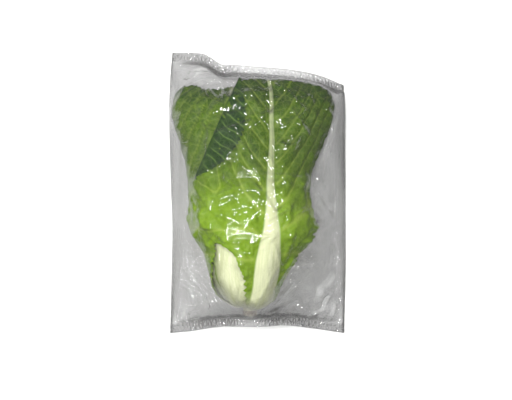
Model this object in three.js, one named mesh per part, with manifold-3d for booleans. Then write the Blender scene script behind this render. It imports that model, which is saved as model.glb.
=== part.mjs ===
// A head of napa cabbage lying on its back in a clear film bag that is crimp-sealed at both ends.
// Millimetres. z = 0 is the surface it lies on, +Y runs from the cut stem to the leaf tips, +X to the right.
import * as THREE from "three";
import { mergeVertices } from "three/addons/utils/BufferGeometryUtils.js";
import Module from "manifold-3d";

const wasm = await Module();
wasm.setup();

// ---------------------------------------------------------------- driving dimensions
const LEAF_COUNT = 18;
const GOLDEN_ANGLE = 137.508; // degrees from one leaf to the next round the stem
const FIRST_LEAF_ANGLE = 61; // 0 is to the right, 90 is up
const HEAD_BASE = -151; // y where the outermost leaf leaves the stem
const BOWL_TOP = -98; // the rounded base of the head ends here
const AXIS_HEIGHT = 48; // of the stem's axis above the surface
const REST_GAP = 2.6; // between the lowest leaf and the surface, where the film lies
const LEAF_GAP = 0.9; // least air between two leaves
const STEM_GAP = 0.5; // between the stem and the leaf bases
const ROOT_THICKNESS = 7.6; // of the outermost leaf's white rib at its base
const BLADE_THICKNESS = 0.9;
const COLUMN_STEP = 15; // degrees between the lattice lines along a leaf
const ROWS = [-151, -149, -145, -137, -124, -105, -82, -58, -32, -4, 24, 52, 78, 100, 118, 132, 141, 145];

const FILM = 0.4; // the bag's wall, thicker than real film so that it is a sound solid
const FILM_GAP = 3; // between the leaves and the outside of the bag
const BAG_COLUMNS = 10; // across the middle of each face of the bag
const VENT_DIAMETER = 5;

const DEGREE = Math.PI / 180;
const clamp = THREE.MathUtils.clamp;
const smoothstep = THREE.MathUtils.smoothstep;

// A smooth function through [x, value] points, level beyond its ends.
function curve(points) {
  const last = points.length - 1;
  const slopes = points.map((_, i) => {
    const before = points[Math.max(i - 1, 0)];
    const after = points[Math.min(i + 1, last)];
    return (after[1] - before[1]) / (after[0] - before[0]);
  });
  return (x) => {
    let i = 0;
    while (i < last - 1 && x > points[i + 1][0]) i++;
    const width = points[i + 1][0] - points[i][0];
    const t = clamp((x - points[i][0]) / width, 0, 1);
    const rise = points[i + 1][1] - points[i][1];
    const a = slopes[i] * width - rise;
    const b = rise - slopes[i + 1] * width;
    return points[i][1] + rise * t + t * (1 - t) * (a * (1 - t) + b * t);
  };
}

// ---------------------------------------------------------------- the head's outline
// Every leaf lies on nested elliptical sections inside this outline, which flattens towards the leaf tips.
const centreX = curve([
  [-151, -10], [-140, -12], [-101, -16], [-60, -11], [-10, -13], [42, -11], [68, -8], [107, -5],
  [150, -5],
]);
const halfWidth = curve([
  [-151, 16], [-148, 25], [-138, 37], [-120, 46], [-98, 51], [-75, 58], [-50, 71], [-15, 78], [20, 80],
  [50, 88], [80, 98], [110, 104], [130, 101], [150, 85],
]);
const halfHeight = curve([
  [-151, 16], [-148, 24], [-138, 34.5], [-120, 42], [-98, 45.4], [-75, 45.4], [-50, 45], [-15, 43], [20, 39],
  [50, 35], [80, 30.5], [110, 26], [130, 22], [150, 17],
]);
const tipLift = curve([[60, 0], [110, 1.5], [150, 6]]);
const centreZ = (y) => (y < BOWL_TOP ? AXIS_HEIGHT : halfHeight(y) + REST_GAP + tipLift(y));

// How the outline's inward normal splits between the radius and +Y. Only the bowl at the base leans.
function inward(y) {
  if (y >= BOWL_TOP) return { radial: 1, along: 0 };
  const slope = Math.max(halfHeight(y + 0.5) - halfHeight(y - 0.5), 0);
  const steep = y <= HEAD_BASE ? 2.4 : Math.min(slope, 2.4);
  const length = Math.hypot(1, steep);
  return { radial: 1 / length, along: steep / length };
}

// The point at a section angle in degrees and a depth below the outline.
function pointAt(y, angle, depth) {
  const n = inward(y);
  const a = Math.max(halfWidth(y) - depth * n.radial, 0.6);
  const c = Math.max(halfHeight(y) - depth * n.radial, 0.6);
  return new THREE.Vector3(
    centreX(y) + a * Math.cos(angle * DEGREE),
    y + depth * n.along,
    centreZ(y) + c * Math.sin(angle * DEGREE),
  );
}

// Arc length round a section from angle 0, in 5 degree steps, worked out once for each row.
const ARC_STEP = 5;
const arcTables = new Map();
function arcTable(y) {
  if (!arcTables.has(y)) {
    const table = [0];
    for (let angle = ARC_STEP; angle <= 360; angle += ARC_STEP) {
      table.push(table.at(-1) + pointAt(y, angle, 0).distanceTo(pointAt(y, angle - ARC_STEP, 0)));
    }
    arcTables.set(y, table);
  }
  return arcTables.get(y);
}
function arcOf(y, angle) {
  const table = arcTable(y);
  const turns = Math.floor(angle / 360);
  const steps = (angle - turns * 360) / ARC_STEP;
  const i = Math.min(Math.floor(steps), table.length - 2);
  return turns * table.at(-1) + table[i] + (table[i + 1] - table[i]) * (steps - i);
}
function angleOf(y, arc) {
  const table = arcTable(y);
  const turns = Math.floor(arc / table.at(-1));
  const rest = arc - turns * table.at(-1);
  let i = 0;
  while (i < table.length - 2 && rest > table[i + 1]) i++;
  return turns * 360 + ARC_STEP * (i + (rest - table[i]) / (table[i + 1] - table[i]));
}

// ---------------------------------------------------------------- the leaves
// Widths are shares of the leaf's half width, against the distance along the leaf from 0 to 1.
const ribShare = curve([
  [0, 0.4], [0.06, 0.72], [0.14, 0.95], [0.24, 1], [0.34, 0.84], [0.44, 0.55], [0.56, 0.28],
  [0.7, 0.14], [1, 0.06],
]);
const bladeShare = curve([
  [0, 0.1], [0.1, 0.27], [0.22, 0.36], [0.32, 0.5], [0.44, 0.7], [0.56, 0.8], [0.7, 0.9], [0.84, 1],
  [0.93, 0.86], [1, 0.34],
]);
// The outermost leaf has its own outline: left of the rib it flares into a lobe.
// Its top ends at the fold.
const firstLeft = curve([
  [-151, 13], [-140, 20], [-114, 29], [-95, 35], [-79, 43], [-66, 57], [-52, 80], [-16, 92], [16, 101],
]);
const firstRight = curve([
  [-151, 13], [-139, 24], [-120, 34], [-100, 41], [-82, 50], [-58, 56], [-4, 58], [24, 60],
  [52, 76], [78, 88], [100, 98], [118, 92], [132, 74], [142, 52], [147, 34],
]);
// Its upper left margin is turned over onto the front along this crease, from (x, y) to (x, y).
const CREASE_LOW = new THREE.Vector2(-78, 18);
const CREASE_HIGH = new THREE.Vector2(-24, 138);

// Where each leaf ends: y of a row. The front ribs drift round the flattening sections to stay straight.
const TIPS = [145, 132, 132, 132, 141, 132, 118, 132, 118, 118, 100, 118, 100, 78, 78, 52, 52, 24];
const DRIFTS = {
  0: curve([[-101, 0], [-10, 5], [42, 10], [94, 18], [147, 20]]),
  3: curve([[-101, 0], [0, 4], [68, 12], [120, 22]]),
};

// Leaf 0 is the outermost. Inner leaves are narrower, thinner and shorter.
function leafSpec(index) {
  const inner = index / (LEAF_COUNT - 1);
  const angle = FIRST_LEAF_ANGLE + GOLDEN_ANGLE * index;
  const turn = angle - 360 * Math.floor(angle / 360);
  return {
    index,
    name: `leaf_${String(index + 1).padStart(2, "0")}`,
    angle: turn,
    drift: DRIFTS[index] ?? (() => 0),
    tip: TIPS[index],
    ribHalf: 31 - 19 * inner,
    bladeHalf: 104 - 66 * inner,
    thickness: ROOT_THICKNESS - 4.6 * inner,
  };
}
const leaves = Array.from({ length: LEAF_COUNT }, (_, i) => leafSpec(i));
const alongLeaf = (leaf, y) => clamp((y - HEAD_BASE) / (leaf.tip - HEAD_BASE), 0, 1);
const ribHalfAt = (leaf, y) => leaf.ribHalf * ribShare(alongLeaf(leaf, y));
// Half width to the left (side 1) or the right (side -1) of the rib's middle.
function marginAt(leaf, y, side) {
  if (leaf.index === 0 && side < 0) return firstRight(y);
  if (leaf.index === 0 && y < CREASE_LOW.y) return firstLeft(y);
  if (leaf.index === 0) {
    const along = (y - CREASE_LOW.y) / (CREASE_HIGH.y - CREASE_LOW.y);
    const x = THREE.MathUtils.lerp(CREASE_LOW.x, CREASE_HIGH.x, along) - 2.5;
    const angle = Math.acos(clamp((x - centreX(y)) / halfWidth(y), -1, 1)) / DEGREE;
    return arcOf(y, angle) - arcOf(y, middleAt(leaf, y));
  }
  return Math.max(leaf.bladeHalf * bladeShare(alongLeaf(leaf, y)), ribHalfAt(leaf, y) + 1);
}
const middleAt = (leaf, y) => leaf.angle + leaf.drift(y);

// Thickness at a distance across from the rib's middle.
function thicknessAt(leaf, y, across) {
  const u = alongLeaf(leaf, y);
  const rib = ribHalfAt(leaf, y);
  const thinning = (1 - 0.35 * u) * (1 - smoothstep(u, 0.3, 0.8) * 0.62);
  const crown = Math.max(leaf.thickness * thinning - BLADE_THICKNESS, 0);
  const dome = Math.max(1 - (across / rib) ** 2, 0);
  return BLADE_THICKNESS + crown * dome;
}

// Distance across from the leaf's middle to an angle, the short way round.
function acrossTo(leaf, y, angle) {
  const whole = arcTable(y).at(-1);
  const arc = arcOf(y, angle) - arcOf(y, middleAt(leaf, y));
  return arc - whole * Math.round(arc / whole);
}

// How deep a leaf's outer face lies: under every leaf outside it that covers the same place.
// A leaf counts as covering one whole lattice cell past its margins and its tip, then fades out.
const looseness = curve([[-151, 1.1], [-135, 0.9], [-115, 0.4], [-50, 1.4], [0, 1.5], [70, 1], [147, 1.1]]);
const SIDE_LOOSENESS = 2.4; // more air at the sharp sides of the flattened top
function depthAt(leaf, row, angle) {
  const y = ROWS[row];
  const cell = (arcTable(y).at(-1) * COLUMN_STEP) / 360;
  let depth = 0;
  for (const outer of leaves.slice(0, leaf.index)) {
    const across = acrossTo(outer, y, angle);
    const side = Math.sign(across);
    const near = [row - 1, row, row + 1].map((r) => ROWS[clamp(r, 0, ROWS.indexOf(outer.tip))]);
    const past = Math.abs(across) - Math.max(...near.map((level) => marginAt(outer, level, side)));
    const pastTip = row - ROWS.indexOf(outer.tip);
    const cover = (1 - smoothstep(past, cell, 2.4 * cell)) * (1 - smoothstep(pastTip, 1, 2.6));
    const sideAir = SIDE_LOOSENESS * smoothstep(y, 80, 120) * Math.cos(angle * DEGREE) ** 2;
    depth += cover * (thicknessAt(outer, y, across) + LEAF_GAP + looseness(y) + sideAir);
  }
  return depth;
}

// One row of a leaf: the lattice angles between its margins, and the margins themselves.
function rowOf(leaf, row) {
  const y = ROWS[row];
  const middle = arcOf(y, middleAt(leaf, y));
  const low = angleOf(y, middle - marginAt(leaf, y, -1));
  const high = angleOf(y, middle + marginAt(leaf, y, 1));
  const angles = [low];
  const first = Math.ceil((low + 2) / COLUMN_STEP) * COLUMN_STEP;
  for (let angle = first; angle < high - 2; angle += COLUMN_STEP) angles.push(angle);
  angles.push(high);
  return angles.map((angle) => ({ angle, ...facesAt(leaf, row, angle) }));
}

// The leaf's outer and inner points, on the flat facets of the shared lattice so that leaves stay nested.
function facesAt(leaf, row, angle) {
  const y = ROWS[row];
  const cell = Math.floor(angle / COLUMN_STEP) * COLUMN_STEP;
  const share = (angle - cell) / COLUMN_STEP;
  const corners = share < 1e-6 ? [cell] : [cell, cell + COLUMN_STEP];
  const pairs = corners.map((corner) => {
    const depth = depthAt(leaf, row, corner);
    const thickness = thicknessAt(leaf, y, acrossTo(leaf, y, corner));
    return [pointAt(y, corner, depth), pointAt(y, corner, depth + thickness)];
  });
  if (pairs.length === 1) return { outer: pairs[0][0], inner: pairs[0][1] };
  return {
    outer: pairs[0][0].lerp(pairs[1][0], share),
    inner: pairs[0][1].lerp(pairs[1][1], share),
  };
}

// Triangles between two rows whose points don't match one to one, as [row, column] pairs.
function stitch(lower, upper) {
  const triangles = [];
  let i = 0;
  let j = 0;
  while (i < lower.length - 1 || j < upper.length - 1) {
    const nextLow = i < lower.length - 1 ? lower[i + 1].angle : Infinity;
    const nextHigh = j < upper.length - 1 ? upper[j + 1].angle : Infinity;
    if (nextLow <= nextHigh) {
      triangles.push([[0, i], [0, i + 1], [1, j]]);
      i++;
    } else {
      triangles.push([[0, i], [1, j + 1], [1, j]]);
      j++;
    }
  }
  return triangles;
}

function leafGeometry(leaf) {
  const rows = ROWS.slice(0, ROWS.indexOf(leaf.tip) + 1).map((_, row) => rowOf(leaf, row));
  const starts = [];
  let count = 0;
  for (const row of rows) {
    starts.push(count);
    count += row.length;
  }
  const points = [...rows.flat().map((p) => p.outer), ...rows.flat().map((p) => p.inner)];
  const faces = [];
  rows.slice(1).forEach((upper, r) => {
    for (const triangle of stitch(rows[r], upper)) {
      const [a, b, c] = triangle.map(([row, column]) => starts[r + row] + column);
      faces.push([a, c, b], [a + count, b + count, c + count]);
    }
  });
  // The rim that joins the two faces all the way round.
  const last = rows.length - 1;
  const loop = [
    ...rows[0].map((_, i) => starts[0] + i),
    ...rows.slice(1, last).map((row, r) => starts[r + 1] + row.length - 1),
    ...rows[last].map((_, i) => starts[last] + rows[last].length - 1 - i),
    ...rows.slice(1, last).map((_, r) => starts[last - 1 - r]),
  ];
  loop.forEach((a, i) => {
    const b = loop[(i + 1) % loop.length];
    faces.push([a, b, b + count], [a, b + count, a + count]);
  });
  return { points, faces };
}

// ---------------------------------------------------------------- solids and meshes
function solid({ points, faces }) {
  const made = new wasm.Manifold(
    new wasm.Mesh({
      numProp: 3,
      vertProperties: new Float32Array(points.flatMap((p) => [p.x, p.y, p.z])),
      triVerts: new Uint32Array(faces.flat()),
    }),
  );
  if (made.volume() > 0) return made;
  return solid({ points, faces: faces.map(([a, b, c]) => [a, c, b]) });
}

function geometryOf(manifold) {
  const mesh = manifold.getMesh();
  const positions = new Float32Array(mesh.numVert * 3);
  for (let i = 0; i < mesh.numVert; i++) {
    positions.set(mesh.vertProperties.subarray(i * mesh.numProp, i * mesh.numProp + 3), i * 3);
  }
  const geometry = new THREE.BufferGeometry();
  geometry.setAttribute("position", new THREE.BufferAttribute(positions, 3));
  geometry.setIndex(new THREE.BufferAttribute(mesh.triVerts, 1));
  geometry.computeVertexNormals();
  return geometry;
}

function manifoldOf(geometry) {
  const bare = geometry.clone();
  bare.deleteAttribute("normal");
  bare.deleteAttribute("uv");
  const merged = mergeVertices(bare, 1e-4);
  return new wasm.Manifold(
    new wasm.Mesh({
      numProp: 3,
      vertProperties: merged.attributes.position.array,
      triVerts: new Uint32Array(merged.index.array),
    }),
  );
}

function named(name, geometry, colour, roughness, opacity = 1) {
  const material = new THREE.MeshStandardMaterial({
    color: colour,
    roughness,
    metalness: 0,
    opacity,
    transparent: opacity < 1,
  });
  const mesh = new THREE.Mesh(geometry, material);
  mesh.name = name;
  return mesh;
}

// ---------------------------------------------------------------- the folded flap of the outermost leaf
const flapWidth = curve([[0, 2], [0.15, 20], [0.4, 34], [0.65, 31], [0.85, 19], [1, 3]]);
const FLAP_RISE = 2.2; // of the flap's underside above the leaf that it lies on
function frontHeight(x, y, depth) {
  const a = halfWidth(y) - depth;
  const reach = clamp((x - centreX(y)) / a, -0.999, 0.999);
  return centreZ(y) + (halfHeight(y) - depth) * Math.sqrt(1 - reach * reach);
}
function flapSolid() {
  const crease = CREASE_HIGH.clone().sub(CREASE_LOW);
  const away = new THREE.Vector2(crease.y, -crease.x).normalize();
  const steps = 10;
  const shares = [0, 0.12, 0.35, 0.65, 1];
  const under = [];
  const over = [];
  for (let i = 0; i <= steps; i++) {
    const t = i / steps;
    for (const share of shares) {
      const q = share * flapWidth(t);
      const p = CREASE_LOW.clone().addScaledVector(crease, t).addScaledVector(away, q);
      const rise = -0.8 + (FLAP_RISE + 0.8) * smoothstep(q, 0, 5);
      under.push(new THREE.Vector3(p.x, p.y, frontHeight(p.x, p.y, 0) + rise));
      const topRise = Math.max(rise, 1.4) + BLADE_THICKNESS;
      over.push(new THREE.Vector3(p.x, p.y, frontHeight(p.x, p.y, 0) + topRise));
    }
  }
  return solid(slab(under, over, shares.length, steps + 1));
}

// A closed slab between two grids of points with the same rows and columns.
function slab(under, over, columns, rowCount) {
  const count = under.length;
  const faces = [];
  for (let r = 0; r < rowCount - 1; r++) {
    for (let c = 0; c < columns - 1; c++) {
      const a = r * columns + c;
      const b = a + columns;
      faces.push([a, b, a + 1], [a + 1, b, b + 1]);
      faces.push([a + count, a + 1 + count, b + count], [a + 1 + count, b + 1 + count, b + count]);
    }
  }
  const loop = [];
  for (let c = 0; c < columns; c++) loop.push(c);
  for (let r = 1; r < rowCount; r++) loop.push(r * columns + columns - 1);
  for (let c = columns - 2; c >= 0; c--) loop.push((rowCount - 1) * columns + c);
  for (let r = rowCount - 2; r > 0; r--) loop.push(r * columns);
  loop.forEach((a, i) => {
    const b = loop[(i + 1) % loop.length];
    faces.push([a, b, b + count], [a, b + count, a + count]);
  });
  return { points: [...under, ...over], faces };
}

// ---------------------------------------------------------------- the cut stem
const STEM_DEPTH = 30; // how far up into the head it reaches, along the leaf bases
const CUT_FACE = -159.6;
const STUB_RADIUS = 9.5;
function stemSolid() {
  const n = inward(HEAD_BASE);
  const profile = [
    new THREE.Vector2(0, CUT_FACE),
    new THREE.Vector2(STUB_RADIUS - 1.2, CUT_FACE),
    new THREE.Vector2(STUB_RADIUS, CUT_FACE + 1),
    new THREE.Vector2(STUB_RADIUS, HEAD_BASE - 3),
  ];
  for (let depth = 0; depth <= STEM_DEPTH; depth += STEM_DEPTH / 3) {
    const radius = halfWidth(HEAD_BASE) - depth * n.radial - STEM_GAP;
    const flat = radius * Math.cos((COLUMN_STEP / 2) * DEGREE);
    profile.push(new THREE.Vector2(flat, HEAD_BASE + depth * n.along));
  }
  const top = profile.at(-1);
  profile.push(new THREE.Vector2(top.x * 0.6, top.y + 2.4), new THREE.Vector2(0, top.y + 3.4));
  const lathe = new THREE.LatheGeometry(profile, 24);
  lathe.translate(centreX(HEAD_BASE), 0, AXIS_HEIGHT);
  return manifoldOf(lathe);
}

// ---------------------------------------------------------------- the film bag
const bottomEdge = curve([
  [-119, -190], [-90, -187], [-55, -179], [-28, -175], [10, -175], [42, -177], [80, -184], [119, -190],
]);
const topEdge = curve([
  [-119, 190], [-75, 187], [-50, 172], [-30, 170], [0, 167], [40, 164], [84, 157], [119, 146],
]);
const bagLeft = curve([
  [-190, -119], [-100, -117], [-50, -116], [0, -117], [110, -119], [150, -119], [190, -116],
]);
const bagRight = curve([[-190, 117], [-100, 119], [0, 118], [60, 117], [110, 117], [150, 116]]);
const sideHeight = curve([
  [-190, 1.5], [-120, 2.5], [-40, 6], [20, 13], [80, 18], [115, 17], [145, 7], [190, 1.5],
]);
const bottomSealHeight = curve([
  [-119, 0.8], [-85, 4], [-50, 24], [-28, 40], [-10, 44], [10, 40], [32, 24], [75, 4], [119, 0.8],
]);
const topSealHeight = curve([
  [-119, 0.8], [-90, 3], [-60, 12], [-20, 22], [30, 23], [80, 16], [105, 5], [119, 0.8],
]);
const SEAL_WIDTH = 11;
const SEAL_THICKNESS = 1.2;
const BAG_ROWS = [
  0, 0.006, 0.013, 0.021, 0.029, 0.039, 0.051, 0.068, 0.1, 0.16, 0.22, 0.28, 0.35,
  0.43, 0.52, 0.61, 0.7, 0.78, 0.85, 0.9, 0.94, 0.97, 0.985, 1,
];
const FLAP_ROOM = 3.4; // extra height over the leaves for the turned-over flap
const FOLD_HALF = 0.4; // half the height of the folded side edges
const VENT = new THREE.Vector2(2, 11);

// The outline of what is in the bag at a section.
function contents(y) {
  const inside = clamp(y, HEAD_BASE, 147);
  const room = FLAP_ROOM * smoothstep(inside, -20, 20) + FILM_GAP / inward(inside).radial;
  const points = [];
  for (let angle = 0; angle < 360; angle += 10) {
    const p = pointAt(inside, angle, 0);
    const up = Math.sin(angle * DEGREE);
    const x = p.x + FILM_GAP * Math.cos(angle * DEGREE);
    points.push(new THREE.Vector2(x, p.z + (up > 0 ? room : REST_GAP - FILM) * up));
  }
  return points;
}

// Height of the taut film over, or under, the contents at x in the section at y.
function tautHeight(x, y, above) {
  const side = above ? 1 : -1;
  const ends = [bagLeft(y), bagRight(y)].map((end) => new THREE.Vector2(end, sideHeight(y)));
  const sorted = [...contents(y), ...ends].sort((p, q) => p.x - q.x);
  const chain = [];
  for (const p of sorted) {
    while (chain.length > 1) {
      const [a, b] = chain.slice(-2);
      if (((b.x - a.x) * (p.y - a.y) - (b.y - a.y) * (p.x - a.x)) * side < 0) break;
      chain.pop();
    }
    chain.push(p);
  }
  const next = chain.findIndex((p, i) => i > 0 && p.x >= x - 1e-6);
  const [a, b] = [chain[next - 1], chain[next]];
  return a.y + ((b.y - a.y) * (x - a.x)) / (b.x - a.x);
}

// The upper and lower film at x on a row that runs from one seal (0) to the other (1).
function filmAt(share, row) {
  const guess = THREE.MathUtils.lerp(-119, 119, share);
  const foot = bottomEdge(guess) + SEAL_WIDTH;
  const head = topEdge(guess) - SEAL_WIDTH;
  const y = THREE.MathUtils.lerp(foot, head, row);
  const x = THREE.MathUtils.lerp(bagLeft(y), bagRight(y), share);
  const fromFoot = smoothstep(y - foot, 0, 2 + 0.09 * Math.abs(guess - centreX(HEAD_BASE)));
  const fromHead = smoothstep(head - y, 0, 3 + 0.06 * Math.abs(guess));
  const full = Math.min(fromFoot, fromHead);
  const seal = row < 0.5 ? bottomSealHeight(x) : topSealHeight(x);
  const lowered = row < 0.5 ? Math.exp((foot - y) / 9) : 1 - smoothstep(head - y, 0, 7);
  const top = THREE.MathUtils.lerp(seal + SEAL_THICKNESS / 2, tautHeight(x, y, true), full);
  const under = Math.max(lowered * (seal - SEAL_THICKNESS / 2) - 0.3, 0);
  return { x, y, top: Math.max(top, under + 1), under };
}

function loft(rows, columns) {
  const under = rows.flatMap((row) => row.under);
  const over = rows.flatMap((row) => row.over);
  return solid(slab(under, over, columns, rows.length));
}

// A closed loft over the bag's rows, drawn in by a wall thickness. The seals are part of the outer one only.
function bagSolid(wall) {
  const nearSide = [0, 0.012, 0.04, 0.08, 0.13];
  const shares = [...nearSide];
  for (let i = 0; i <= BAG_COLUMNS; i++) shares.push(THREE.MathUtils.lerp(0.19, 0.81, i / BAG_COLUMNS));
  shares.push(...nearSide.map((share) => 1 - share).reverse());
  const rows = BAG_ROWS.map((row) => {
    const under = [];
    const over = [];
    for (const share of shares) {
      const place = filmAt(clamp(share, wall * 0.006, 1 - wall * 0.006), row);
      const edge = share === 0 || share === 1;
      const middle = (place.top + place.under) / 2;
      const low = edge ? middle - FOLD_HALF + wall / 2 : place.under + wall;
      const high = edge ? middle + FOLD_HALF - wall / 2 : place.top - wall;
      under.push(new THREE.Vector3(place.x, place.y, low));
      over.push(new THREE.Vector3(place.x, place.y, high));
    }
    return { under, over };
  });
  if (wall > 0) {
    const hollow = rows.slice(1, -1);
    return loft(hollow, shares.length);
  }
  const seal = (row, edge, height) => {
    const low = (p) => Math.max(height(p.x) - SEAL_THICKNESS / 2, 0);
    return {
      under: row.under.map((p) => new THREE.Vector3(p.x, edge(p.x), low(p))),
      over: row.over.map((p) => new THREE.Vector3(p.x, edge(p.x), low(p) + SEAL_THICKNESS)),
    };
  };
  const bottom = seal(rows[0], bottomEdge, bottomSealHeight);
  const top = seal(rows.at(-1), topEdge, topSealHeight);
  const all = [bottom, ...rows, top];
  return loft(all, shares.length);
}

function produceBag() {
  const vent = new THREE.CylinderGeometry(VENT_DIAMETER / 2, VENT_DIAMETER / 2, 30, 16);
  vent.rotateX(Math.PI / 2);
  vent.translate(VENT.x, VENT.y, tautHeight(VENT.x, VENT.y, true) + 9);
  return bagSolid(0).subtract(bagSolid(FILM)).subtract(manifoldOf(vent));
}

// ---------------------------------------------------------------- the part
const cabbage = new THREE.Group();
for (const leaf of leaves) {
  let made = solid(leafGeometry(leaf));
  if (leaf.index === 0) made = made.add(flapSolid());
  const paleness = leaf.index / (LEAF_COUNT - 1);
  const colour = new THREE.Color(0x6f8f2f).lerp(new THREE.Color(0xd9dc8c), paleness);
  cabbage.add(named(leaf.name, geometryOf(made), colour, 0.5));
}
cabbage.add(named("stem", geometryOf(stemSolid()), 0xd8d4b4, 0.7));
cabbage.add(named("produce_bag", geometryOf(produceBag()), 0xf2f6f6, 0.12, 0.25));

export default cabbage;
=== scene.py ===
import math

import bmesh
import bpy
import numpy as np
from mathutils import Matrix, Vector
from mathutils.bvhtree import BVHTree


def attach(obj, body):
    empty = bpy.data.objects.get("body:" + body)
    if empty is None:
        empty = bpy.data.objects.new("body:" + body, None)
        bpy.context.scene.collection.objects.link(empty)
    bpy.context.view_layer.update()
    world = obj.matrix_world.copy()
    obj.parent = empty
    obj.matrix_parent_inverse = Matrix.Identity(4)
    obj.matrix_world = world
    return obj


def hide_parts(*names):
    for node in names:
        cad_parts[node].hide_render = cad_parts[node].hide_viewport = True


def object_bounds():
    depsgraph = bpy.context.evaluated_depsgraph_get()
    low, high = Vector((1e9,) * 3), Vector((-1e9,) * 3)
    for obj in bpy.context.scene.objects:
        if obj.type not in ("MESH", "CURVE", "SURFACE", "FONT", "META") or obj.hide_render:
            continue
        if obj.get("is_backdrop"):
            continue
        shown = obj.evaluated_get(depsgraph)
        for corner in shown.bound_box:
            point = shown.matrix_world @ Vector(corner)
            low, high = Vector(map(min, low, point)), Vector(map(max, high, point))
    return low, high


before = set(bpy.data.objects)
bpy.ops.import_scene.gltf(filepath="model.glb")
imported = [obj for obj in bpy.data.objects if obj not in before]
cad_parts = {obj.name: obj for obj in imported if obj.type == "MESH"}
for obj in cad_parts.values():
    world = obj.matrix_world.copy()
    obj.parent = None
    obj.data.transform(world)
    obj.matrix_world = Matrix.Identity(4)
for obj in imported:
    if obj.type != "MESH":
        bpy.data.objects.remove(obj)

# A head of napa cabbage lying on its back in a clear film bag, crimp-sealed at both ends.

CAD_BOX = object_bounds()
MM = 0.001
LEAF_COUNT = 18

# ---------------------------------------------------------------- smooth numbers
# Shapes are worked out in millimetres and turned into metres when they are placed in a mesh.


def curve(points):
    """A smooth function through (x, value) points, level beyond its ends."""
    xs = np.array([p[0] for p in points], float)
    ys = np.array([p[1] for p in points], float)
    last = len(xs) - 1
    low = np.maximum(np.arange(last + 1) - 1, 0)
    high = np.minimum(np.arange(last + 1) + 1, last)
    slopes = (ys[high] - ys[low]) / (xs[high] - xs[low])

    def value(x):
        x = np.asarray(x, float)
        i = np.clip(np.searchsorted(xs, x) - 1, 0, last - 1)
        width = xs[i + 1] - xs[i]
        t = np.clip((x - xs[i]) / width, 0, 1)
        rise = ys[i + 1] - ys[i]
        a = slopes[i] * width - rise
        b = rise - slopes[i + 1] * width
        return ys[i] + rise * t + t * (1 - t) * (a * (1 - t) + b * t)

    return value


def ease(x, low, high):
    t = np.clip((np.asarray(x, float) - low) / (high - low), 0, 1)
    return t * t * (3 - 2 * t)


def blend(a, b, t):
    return a + (b - a) * t


def rumple(p, q, size, seed):
    """Smooth random hills between -1 and 1 over two coordinates, each about `size` across."""
    table = np.random.default_rng(seed).uniform(-1, 1, (97, 89))
    p = np.asarray(p, float) / size + 500
    q = np.asarray(q, float) / size + 500
    i = np.floor(p).astype(int)
    j = np.floor(q).astype(int)
    f = ease(p - i, 0, 1)
    g = ease(q - j, 0, 1)
    corner = lambda di, dj: table[(i + di) % 97, (j + dj) % 89]
    return blend(blend(corner(0, 0), corner(0, 1), g), blend(corner(1, 0), corner(1, 1), g), f)


def sample(table, row, column):
    """Reads a table between its lines."""
    row = np.clip(row, 0, table.shape[0] - 1.001)
    column = np.clip(column, 0, table.shape[1] - 1.001)
    i = row.astype(int)
    j = column.astype(int)
    f = row - i
    g = column - j
    return blend(blend(table[i, j], table[i, j + 1], g), blend(table[i + 1, j], table[i + 1, j + 1], g), f)


# ---------------------------------------------------------------- the head's outline
# Sections are ellipses along y. Leaves lie nested inside them, flatter towards the leaf tips.
HEAD_BASE, BOWL_TOP, AXIS_HEIGHT, REST_GAP = -151.0, -98.0, 48.0, 2.6
centre_x = curve([(-151, -10), (-140, -12), (-101, -16), (-60, -11), (-10, -13), (42, -11), (68, -8),
                  (107, -5), (150, -5)])
half_width = curve([(-151, 16), (-148, 25), (-138, 37), (-120, 46), (-98, 51), (-75, 58), (-50, 71),
                    (-15, 78), (20, 80), (50, 88), (80, 98), (110, 104), (130, 101), (150, 85)])
half_height = curve([(-151, 16), (-148, 24), (-138, 34.5), (-120, 42), (-98, 45.4), (-75, 45.4), (-50, 45),
                     (-15, 43), (20, 39), (50, 35), (80, 30.5), (110, 26), (130, 22), (150, 17)])
tip_lift = curve([(60, 0), (110, 1.5), (150, 6)])
right_swell = curve([(-122, 0), (-101, 8), (-75, 12), (-51, 14), (-29, 8), (-10, 3), (10, 0)])
left_swell = curve([(-95, 0), (-72, 5), (-52, 9), (-38, 8), (-20, 2), (0, 0), (60, 0), (90, 3), (125, 3),
                    (150, 0)])


def centre_z(y):
    return np.where(y < BOWL_TOP, AXIS_HEIGHT, half_height(y) + REST_GAP + tip_lift(y))


def inward(y):
    """How the inward normal splits between the radius and +Y: only the bowl at the base leans."""
    slope = np.clip(half_height(y + 0.5) - half_height(y - 0.5), 0, 2.4)
    slope = np.where(y < HEAD_BASE + 1, 2.4, slope) * (1 - ease(y, BOWL_TOP - 8, BOWL_TOP))
    length = np.hypot(1, slope)
    return 1 / length, slope / length


def head_point(y, angle, depth):
    """The point at a section angle (0 right, 90 up) and a depth below the outline."""
    radial, along = inward(y)
    a = np.maximum(half_width(y) - depth * radial, 0.6)
    c = np.maximum(half_height(y) - depth * radial, 0.6)
    turn = np.radians(angle)
    x = centre_x(y) + a * np.cos(turn)
    z = centre_z(y) + c * np.sin(turn)
    way = y + depth * along
    # A gentle bend of the whole head, the same for every leaf, so that nested leaves stay nested.
    x = x + 1.6 * rumple(way, z, 70, 5) * ease(way, -150, -80)
    z = z + 1.4 * rumple(x, way, 60, 6) * ease(way, -150, -80) * ease(np.sin(turn), -0.6, 0.4)
    # Its sides are not even: it swells out to the right of the waist and a little to the left.
    side = np.cos(turn)
    x = x + right_swell(way) * np.maximum(side, 0) ** 3 - left_swell(way) * np.maximum(-side, 0) ** 3
    return np.stack([x, way, z], -1)


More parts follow.
